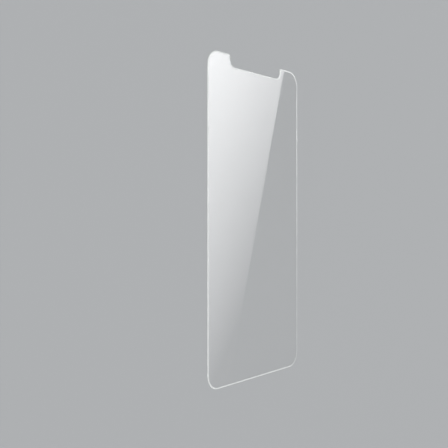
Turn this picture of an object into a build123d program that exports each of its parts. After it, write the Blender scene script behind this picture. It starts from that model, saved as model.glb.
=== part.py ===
# Tempered-glass screen protector: one thin flat pane with rounded corners,
# a notch in its top edge and a ground edge that falls away in an arc.
#
# Millimetres. The pane lies on its back face: +X across its width, +Y along its
# length towards the notch, +Z out of the touch face. The origin is the middle of
# the back face.
import os

from build123d import *

# Pane
length = 138.0
width = 64.8
thickness = 0.33
corner_radius = 6.5

# Notch in the top edge, between two ears: its depth, and the straight part of each flank
ear_width = 14.4
notch_depth = 5.0
notch_flank = 0.9

# Ground edge round the touch face: how far it reaches in from the outline, the
# upright wall that it leaves at the outline, and the land inside the lip of an ear
edge_width = 0.7
wall_height = 0.13
lip_land = 0.2

# Fine chamfer that takes the sharpness off the back edge
back_chamfer = 0.04

# How far the grinding tool stands clear of the glass, outside and above
tool_clearance = 0.2

# The lips turn just wide enough for the ground edge, and the roots take up the
# rest of the notch's depth
notch_width = width - 2 * ear_width
lip_radius = edge_width + lip_land
root_radius = notch_depth - notch_flank - lip_radius

with BuildPart() as protector_glass:
    # Blank, cut to the outline
    with BuildSketch() as outline:
        RectangleRounded(width, length, corner_radius)
        with Locations((0, length / 2)):
            Rectangle(notch_width, notch_depth, align=(Align.CENTER, Align.MAX), mode=Mode.SUBTRACT)
        roots = outline.vertices(Select.LAST).group_by(Axis.Y)[0]
        fillet(roots, radius=root_radius)
        lips = outline.vertices().group_by(Axis.Y)[-1].sort_by(Axis.X)[1:-1]
        fillet(lips, radius=lip_radius)
    extrude(amount=thickness)

    # Section of the grinding tool, square to the outline: x points into the pane, y up.
    # Its arc is tangent to the touch face, so the face runs into the edge without a line.
    track = outline.wire()
    along = track % 0
    inward = Vector(0, 0, 1).cross(along)
    with BuildSketch(Plane(origin=track @ 0, x_dir=inward, z_dir=along)):
        with BuildLine():
            fall = TangentArc((edge_width, thickness), (0, wall_height), tangent=(-1, 0))
            Polyline(
                fall @ 1,
                (-tool_clearance, wall_height),
                (-tool_clearance, thickness + tool_clearance),
                (edge_width, thickness + tool_clearance),
                fall @ 0,
            )
        make_face()

    # Ground edge: the tool follows the whole outline, round corners, lips and roots
    sweep(path=track, mode=Mode.SUBTRACT)

    # Back edge
    back_face = protector_glass.faces().sort_by(Axis.Z)[0]
    chamfer(back_face.edges(), length=back_chamfer)

protector_glass.part.label = "protector_glass"

os.makedirs("parts", exist_ok=True)
export_step(protector_glass.part, "parts/protector_glass.step")
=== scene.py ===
import math

import bmesh
import bpy
from mathutils import Matrix, Vector


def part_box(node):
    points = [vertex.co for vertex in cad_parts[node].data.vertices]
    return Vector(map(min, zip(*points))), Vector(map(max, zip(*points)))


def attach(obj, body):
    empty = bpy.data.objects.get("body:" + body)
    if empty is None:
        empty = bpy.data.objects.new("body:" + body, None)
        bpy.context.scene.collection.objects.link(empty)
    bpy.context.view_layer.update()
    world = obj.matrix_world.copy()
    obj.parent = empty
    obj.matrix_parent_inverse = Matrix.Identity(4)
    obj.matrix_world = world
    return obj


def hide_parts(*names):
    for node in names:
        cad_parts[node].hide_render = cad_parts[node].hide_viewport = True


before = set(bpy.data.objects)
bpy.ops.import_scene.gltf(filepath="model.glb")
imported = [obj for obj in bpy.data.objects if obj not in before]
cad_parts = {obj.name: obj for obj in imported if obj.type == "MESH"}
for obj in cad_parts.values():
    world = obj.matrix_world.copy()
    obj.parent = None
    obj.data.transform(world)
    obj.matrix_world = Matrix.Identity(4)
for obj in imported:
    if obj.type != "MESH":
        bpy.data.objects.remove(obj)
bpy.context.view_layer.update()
mm = 0.001  # metres
scene = bpy.context.scene
print("frame loaded:", sorted(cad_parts))


# sRGB hex to the linear colour that shaders take
def hexColour(code):
    channels = [int(code[i:i + 2], 16) / 255 for i in (1, 3, 5)]
    linear = [c / 12.92 if c <= 0.04045 else ((c + 0.055) / 1.055) ** 2.4 for c in channels]
    return (*linear, 1.0)


# adds a node; an input given a socket is linked to it, any other input is set to the value
def addNode(tree, kind, settings, inputs):
    node = tree.nodes.new(kind)
    for name, value in settings.items():
        setattr(node, name, value)
    for name, value in inputs.items():
        if isinstance(value, bpy.types.NodeSocket):
            tree.links.new(value, node.inputs[name])
        else:
            node.inputs[name].default_value = value
    return node


# the emptied node tree of a material or a world
def newTree(owner):
    owner.use_nodes = True
    owner.node_tree.nodes.clear()
    return owner.node_tree


# pane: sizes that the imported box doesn't give, and how finely its curves are drawn
pane = {
    "cornerRadius": 6.5 * mm,
    "earWidth": 14.4 * mm,
    "notchDepth": 5.0 * mm,
    "lipRadius": 0.9 * mm,
    "rootRadius": 3.2 * mm,
    "edgeWidth": 0.7 * mm,     # reach of the ground edge in from the outline
    "wallHeight": 0.13 * mm,   # upright wall below the ground edge
    "backChamfer": 0.04 * mm,
    "turnSteps": 32,           # steps round a corner, a lip or a root
    "fallSteps": 12,           # steps down the ground edge
    "polishedSteps": 2,        # of those, the upper ones that are polished again
    "sharpFrom": 30,           # degrees; a crease this sharp isn't shaded smooth
    "flatWeight": 100,         # how far the big faces rule the shading beside them
}
low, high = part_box("protector_glass")
width = high.x - low.x
length = high.y - low.y
thickness = high.z - low.z


# the eight turns of the outline, anticlockwise: corner point, radius,
# and the way the edge faces before and after, in degrees
def paneTurns():
    side, end = width / 2, length / 2
    notchSide, notchEnd = side - pane["earWidth"], end - pane["notchDepth"]
    corner, lip, root = pane["cornerRadius"], pane["lipRadius"], pane["rootRadius"]
    return [
        ((side, -end), corner, -90, 0),
        ((side, end), corner, 0, 90),
        ((notchSide, end), lip, 90, 180),
        ((notchSide, notchEnd), root, 180, 90),
        ((-notchSide, notchEnd), root, 90, 0),
        ((-notchSide, end), lip, 0, 90),
        ((-side, end), corner, 90, 180),
        ((-side, -end), corner, 180, 270),
    ]


# one ring of points round the pane, set in from the outline;
# a root turns the other way, so it widens instead
def paneRing(inset, height):
    points = []
    for corner, radius, before, after in paneTurns():
        bulge = 1 if after > before else -1
        faces = [Vector((math.cos(math.radians(a)), math.sin(math.radians(a)))) for a in (before, after)]
        centre = Vector(corner) - bulge * radius * (faces[0] + faces[1])
        for step in range(pane["turnSteps"] + 1):
            angle = math.radians(before + (after - before) * step / pane["turnSteps"])
            face = Vector((math.cos(angle), math.sin(angle)))
            points.append((*(centre + (bulge * radius - inset) * face), height))
    return points


# section of the edge from the touch face down to the back face, as inset and height
def paneSection():
    reach, fall = pane["edgeWidth"], thickness - pane["wallHeight"]
    radius = (reach ** 2 + fall ** 2) / (2 * fall)
    fullTurn = math.asin(reach / radius)
    section = []
    for step in range(pane["fallSteps"] + 1):
        turn = fullTurn * step / pane["fallSteps"]
        section.append((reach - radius * math.sin(turn), thickness - radius * (1 - math.cos(turn))))
    section.append((0, pane["backChamfer"]))
    section.append((pane["backChamfer"], 0))
    return section


# distance run at each point of a line, from its first point
def runs(points):
    total = [0.0]
    for a, b in zip(points, points[1:]):
        total.append(total[-1] + (Vector(b) - Vector(a)).length)
    return total


def makePane(faceGlass, edgeGlass):
    mesh = bpy.data.meshes.new("protector_pane")
    work = bmesh.new()
    edgeRun = work.loops.layers.uv.new("edgeRun")  # metres along the outline and down the edge
    section = paneSection()
    rings = [[work.verts.new(p) for p in paneRing(*place)] for place in section]
    outline = paneRing(0, 0)
    count = len(outline)
    along = runs(outline + outline[:1])
    down = runs(section)
    for row in range(len(section) - 1):
        upper, lower = rings[row], rings[row + 1]
        for i in range(count):
            j = (i + 1) % count
            band = work.faces.new((upper[i], lower[i], lower[j], upper[j]))
            band.material_index = int(row >= pane["polishedSteps"])
            band.smooth = True
            places = ((i, row), (i, row + 1), (i + 1, row + 1), (i + 1, row))
            for loop, (u, v) in zip(band.loops, places):
                loop[edgeRun].uv = (along[u], down[v])
    for cap in (rings[0], rings[-1][::-1]):  # touch face and back face
        work.faces.new(cap).smooth = True
    work.normal_update()
    work.to_mesh(mesh)
    work.free()
    mesh.set_sharp_from_angle(angle=math.radians(pane["sharpFrom"]))
    piece = bpy.data.objects.new("protector_pane", mesh)
    scene.collection.objects.link(piece)
    for glass in (faceGlass, edgeGlass):
        mesh.materials.append(glass)
    evenFaces = piece.modifiers.new("evenFaces", "WEIGHTED_NORMAL")  # keeps the big faces optically flat
    evenFaces.weight = pane["flatWeight"]
    evenFaces.keep_sharp = True
    return piece


# lamp light and the floor's bounce light pass straight through the glass,
# so the floor under it stays evenly lit
def letLightThrough(tree, surface, tint):
    path = addNode(tree, "ShaderNodeLightPath", {}, {})
    clear = addNode(tree, "ShaderNodeBsdfTransparent", {}, {"Color": hexColour(tint)})
    for ray in ("Is Shadow Ray", "Is Diffuse Ray"):
        surface = addNode(tree, "ShaderNodeMixShader", {}, {
            0: path.outputs[ray], 1: surface.outputs[0], 2: clear.outputs[0]})
    addNode(tree, "ShaderNodeOutputMaterial", {}, {"Surface": surface.outputs[0]})


sheet = {
    "colour": "#FFFFFF",
    "ior": 1.51,
    "hazePatch": 18 * mm,
    "hazeDetail": 3.0,
    "hazeSpread": (0.35, 0.7),  # part of the noise that the haze runs over
    "haze": (0.0, 0.03),        # roughness
    "wave": 22 * mm,
    "waveDetail": 0.0,
    "waveHeight": 0.002 * mm,   # drawn higher than the real waves, which are under a micron
    "shade": "#FFFFFF",         # tint of the light that it lets through to the floor
}


# Aluminosilicate sheet glass, fire-polished and tempered in a salt bath: colourless and clear,
# its reflections hard-edged and wavering only a trace
def polishedSheetGlass():
    glass = bpy.data.materials.new("polishedSheetGlass")
    tree = newTree(glass)
    spot = addNode(tree, "ShaderNodeTexCoord", {}, {})
    patches = addNode(tree, "ShaderNodeTexNoise", {}, {
        "Vector": spot.outputs["Object"],
        "Scale": 1 / sheet["hazePatch"],
        "Detail": sheet["hazeDetail"]})
    haze = addNode(tree, "ShaderNodeMapRange", {}, {
        "Value": patches.outputs["Fac"],
        "From Min": sheet["hazeSpread"][0],
        "From Max": sheet["hazeSpread"][1],
        "To Min": sheet["haze"][0],
        "To Max": sheet["haze"][1]})
    waves = addNode(tree, "ShaderNodeTexNoise", {}, {
        "Vector": spot.outputs["Object"],
        "Scale": 1 / sheet["wave"],
        "Detail": sheet["waveDetail"]})
    bump = addNode(tree, "ShaderNodeBump", {}, {
        "Height": waves.outputs["Fac"],
        "Strength": 1.0,
        "Distance": sheet["waveHeight"]})
    surface = addNode(tree, "ShaderNodeBsdfPrincipled", {}, {
        "Base Color": hexColour(sheet["colour"]),
        "Roughness": haze.outputs["Result"],
        "IOR": sheet["ior"],
        "Transmission Weight": 1.0,
        "Normal": bump.outputs["Normal"]})
    letLightThrough(tree, surface, sheet["shade"])
    return glass


groundEdge = {
    "colour": "#F6F9F8",
    "ior": 1.51,
    "clear": 0.3,               # share of the light that gets through the matt skin
    "markLength": 5 * mm,
    "markWidth": 0.08 * mm,     # drawn coarser than the grit's real marks, which are a few microns wide
    "markDepth": 0.004 * mm,
    "markDetail": 2.0,
    "mattSpread": (0.3, 0.7),   # part of the noise that the roughness runs over
    "matt": (0.16, 0.34),       # roughness
    "shade": "#E8EAEA",         # tint of the light that it lets through to the floor
}


# The same glass where a diamond wheel has ground it: a fine matt skin with marks along it
# that scatters light, so the edge reads as a pale line
def groundGlassEdge():
    glass = bpy.data.materials.new("groundGlassEdge")
    tree = newTree(glass)
    run = addNode(tree, "ShaderNodeUVMap", {"uv_map": "edgeRun"}, {})
    stretch = addNode(tree, "ShaderNodeVectorMath", {"operation": "MULTIPLY"}, {
        0: run.outputs["UV"],
        1: (1 / groundEdge["markLength"], 1 / groundEdge["markWidth"], 0)})
    marks = addNode(tree, "ShaderNodeTexNoise", {}, {
        "Vector": stretch.outputs["Vector"],
        "Scale": 1.0,
        "Detail": groundEdge["markDetail"]})
    matt = addNode(tree, "ShaderNodeMapRange", {}, {
        "Value": marks.outputs["Fac"],
        "From Min": groundEdge["mattSpread"][0],
        "From Max": groundEdge["mattSpread"][1],
        "To Min": groundEdge["matt"][0],
        "To Max": groundEdge["matt"][1]})
    bump = addNode(tree, "ShaderNodeBump", {}, {
        "Height": marks.outputs["Fac"],
        "Strength": 1.0,
        "Distance": groundEdge["markDepth"]})
    surface = addNode(tree, "ShaderNodeBsdfPrincipled", {}, {
        "Base Color": hexColour(groundEdge["colour"]),
        "Roughness": matt.outputs["Result"],
        "IOR": groundEdge["ior"],
        "Transmission Weight": groundEdge["clear"],
        "Normal": bump.outputs["Normal"]})
    letLightThrough(tree, surface, groundEdge["shade"])
    return glass


protector = makePane(polishedSheetGlass(), groundGlassEdge())
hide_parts("protector_glass")
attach(protector, "root")
print("pane made:", len(protector.data.vertices), "points")

# camera: where the photograph was taken from, beside the pane and above it,
# with the notch at the top of the frame
view = {
    "place": Vector((-236.5, 2.1, 177.8)) * mm,
    "along": Vector((0.7702, 0.0, -0.6378)),
    "sensor": 36.0,        # millimetres, as the lens is
    "lens": 54.24,
    "shift": -0.0205,
    "nearest": 1 * mm,
}


def makeCamera():
    data = bpy.data.cameras.new("photoCamera")
    data.sensor_width = view["sensor"]
    data.lens = view["lens"]
    data.shift_y = view["shift"]
    data.clip_start = view["nearest"]
    camera = bpy.data.objects.new("photoCamera", data)
    scene.collection.objects.link(camera)
    up = Vector((0, 1, 0))
    right = view["along"].cross(up)
    turn = Matrix((right, up, -view["along"])).transposed()
    camera.matrix_world = Matrix.Translation(view["place"]) @ turn.to_4x4()
    scene.camera = camera


makeCamera()
print("camera placed")

# stage: a pale matt floor just under the pane, and a world that lights it evenly
stage = {
    "floor": "#AEB0B2",
    "size": 60.0,
    "gap": 0.06 * mm,
    "light": "#FFFFFF",         # the world's light and every softbox's
    "worldLight": 0.7,
    "backdrop": "#979999",      # what the camera and the glass see past the floor: its colour far off
}


# Matt wall paint, rolled on: no gloss, so the floor mirrors nothing and only takes soft shadows
def mattFloorPaint():
    paint = bpy.data.materials.new("mattFloorPaint")
    tree = newTree(paint)
    surface = addNode(tree, "ShaderNodeBsdfDiffuse", {}, {"Color": hexColour(stage["floor"])})
    addNode(tree, "ShaderNodeOutputMaterial", {}, {"Surface": surface.outputs[0]})
    return paint


def makeFloor():
    mesh = bpy.data.meshes.new("floor")
    half = stage["size"] / 2
    corners = [(-half, -half, 0), (half, -half, 0), (half, half, 0), (-half, half, 0)]
    mesh.from_pydata(corners, [], [(0, 1, 2, 3)])
    mesh.materials.append(mattFloorPaint())
    floor = bpy.data.objects.new("floor", mesh)
    floor.location.z = low.z - stage["gap"]
    scene.collection.objects.link(floor)


def makeWorld():
    world = bpy.data.worlds.new("studio")
    scene.world = world
    tree = newTree(world)
    rays = addNode(tree, "ShaderNodeLightPath", {}, {})
    seen = addNode(tree, "ShaderNodeBackground", {}, {"Color": hexColour(stage["backdrop"])})
    back = addNode(tree, "ShaderNodeBackground", {}, {
        "Color": hexColour(stage["light"]), "Strength": stage["worldLight"]})
    for ray in ("Is Camera Ray", "Is Glossy Ray", "Is Transmission Ray"):
        back = addNode(tree, "ShaderNodeMixShader", {}, {
            0: rays.outputs[ray], 1: back.outputs[0], 2: seen.outputs[0]})
    addNode(tree, "ShaderNodeOutputWorld", {}, {"Surface": back.outputs[0]})


makeFloor()
makeWorld()
print("floor and world set")


# White diffuser cloth, lit from behind: no weave to see, only a glow that is strongest at one
# point and falls off in a straight line towards another
def diffuserCloth(name, bright, faded, glow):
    cloth = bpy.data.materials.new(name)
    tree = newTree(cloth)
    fall = faded - bright
    spot = addNode(tree, "ShaderNodeTexCoord", {}, {})
    step = addNode(tree, "ShaderNodeVectorMath", {"operation": "SUBTRACT"}, {
        0: spot.outputs["Object"], 1: bright})
    share = addNode(tree, "ShaderNodeVectorMath", {"operation": "DOT_PRODUCT"}, {
        0: step.outputs["Vector"], 1: fall / fall.length_squared})
    fade = addNode(tree, "ShaderNodeMapRange", {}, {
        "Value": share.outputs["Value"], "To Min": glow[0], "To Max": glow[1]})
    light = addNode(tree, "ShaderNodeEmission", {}, {
        "Color": hexColour(stage["light"]), "Strength": fade.outputs["Result"]})
    addNode(tree, "ShaderNodeOutputMaterial", {}, {"Surface": light.outputs[0]})
    return cloth


# a softbox that the camera doesn't see; one that lights nothing shows only where the glass mirrors it
def makeSoftbox(name, corners, bright, faded, glow, lights=True):
    mesh = bpy.data.meshes.new(name)
    mesh.from_pydata(corners, [], [(0, 1, 2, 3)])
    mesh.materials.append(diffuserCloth(name + "Cloth", bright, faded, glow))
    box = bpy.data.objects.new(name, mesh)
    scene.collection.objects.link(box)
    box.visible_camera = False
    box.visible_diffuse = lights


# gleam: the softbox that the touch face mirrors to the camera,
# set out by the places on the pane where it shows
gleam = {
    "distance": 2.0,
    "edgeTop": (21.4 * mm, 69 * mm),     # its straight edge crosses the pane from ear to foot
    "edgeFoot": (-19.3 * mm, -69 * mm),
    "overrun": 25 * mm,                  # past the two ends of the pane
    "farSide": -60 * mm,
    "brightAt": (-32.4 * mm, 69 * mm),
    "fadedAt": (64.3 * mm, 60.9 * mm),
    "glow": (5.2, 0.35),                 # strength at the bright place and at the faded one
    "cardSide": -150 * mm,               # a card above it lets it fade out, for the ground edge to mirror
    "cardBrightAt": (-60 * mm, 20 * mm),
    "cardFadedAt": (-118.5 * mm, -4 * mm),
    "cardGlow": (5.2, 0.0),
}


# where a ray from the camera lands on the softbox's plane after it mirrors at a place on the touch face
def mirrored(place):
    facing = Vector((view["along"].x, 0, -view["along"].z))
    spot = Vector((*place, high.z))
    ray = spot - view["place"]
    ray.z = -ray.z
    reach = (facing * gleam["distance"] - spot).dot(facing) / ray.dot(facing)
    return spot + ray * reach


def makeGleam():
    (topX, topY), (footX, footY) = gleam["edgeTop"], gleam["edgeFoot"]
    slope = (topX - footX) / (topY - footY)
    over, side, cardSide = gleam["overrun"], gleam["farSide"], gleam["cardSide"]
    head, foot = topY + over, footY - over
    places = [(topX + slope * over, head), (side, head), (side, foot), (footX - slope * over, foot)]
    corners = [mirrored(place) for place in places]
    bright, faded = mirrored(gleam["brightAt"]), mirrored(gleam["fadedAt"])
    makeSoftbox("gleamSoftbox", corners, bright, faded, gleam["glow"])
    places = [(side, head), (cardSide, head), (cardSide, foot), (side, foot)]
    corners = [mirrored(place) for place in places]
    bright, faded = mirrored(gleam["cardBrightAt"]), mirrored(gleam["cardFadedAt"])
    makeSoftbox("gleamCard", corners, bright, faded, gleam["cardGlow"], lights=False)


# ring: low softboxes all round, which light the edges and put a leaning gleam on the glass
# from other sides; angles in degrees, round from +X and up
ring = {
    "distance": 3.0,
    "starts": (-10, 80, 170, 260),
    "span": 45,
    "lean": 15,
    "foot": 8,
    "heads": ((27, 42), (36, 36), (36, 36), (36, 36)),  # the first stays below what the touch face mirrors
    "glow": (2.0, 0.5),                                 # strength at the head and at the foot
    "cardTurns": (-2, 46),                              # a card under the first glints in the far edges
    "cardRises": (2, 9),
    "cardGlow": (12.0, 2.0),
}


def onRing(turn, rise):
    turn, rise = math.radians(turn), math.radians(rise)
    facing = Vector((math.cos(turn) * math.cos(rise), math.sin(turn) * math.cos(rise), math.sin(rise)))
    return facing * ring["distance"]


def makeRing():
    for start, (headStart, headEnd) in zip(ring["starts"], ring["heads"]):
        end, lean, foot = start + ring["span"], ring["lean"], ring["foot"]
        corners = [
            onRing(start, foot),
            onRing(end, foot),
            onRing(end + lean, headEnd),
            onRing(start + lean, headStart),
        ]
        bright, faded = (corners[2] + corners[3]) / 2, (corners[0] + corners[1]) / 2
        makeSoftbox("ringSoftbox" + str(start % 360), corners, bright, faded, ring["glow"])
    (start, end), (foot, head) = ring["cardTurns"], ring["cardRises"]
    corners = [onRing(start, foot), onRing(end, foot), onRing(end, head), onRing(start, head)]
    makeSoftbox("ringCard", corners, corners[0], corners[2], ring["cardGlow"], lights=False)


# overhead: a softbox on the left, so that its edge crosses the middle of the pane
# when that is seen from above
overhead = {
    "place": (-0.52, 0.1, 3.0),
    "width": 1.0,
    "length": 2.0,
    "turn": -14,     # degrees
    "power": 13.8,   # watts
}


def makeOverhead():
    data = bpy.data.lights.new("overheadSoftbox", "AREA")
    data.shape = "RECTANGLE"
    data.size = overhead["width"]
    data.size_y = overhead["length"]
    data.energy = overhead["power"]
    lamp = bpy.data.objects.new("overheadSoftbox", data)
    scene.collection.objects.link(lamp)
    lamp.location = overhead["place"]
    lamp.rotation_euler.z = math.radians(overhead["turn"])


makeGleam()
makeRing()
makeOverhead()
print("lamps set")

scene.view_settings.view_transform = "Standard"

bpy.context.view_layer.update()
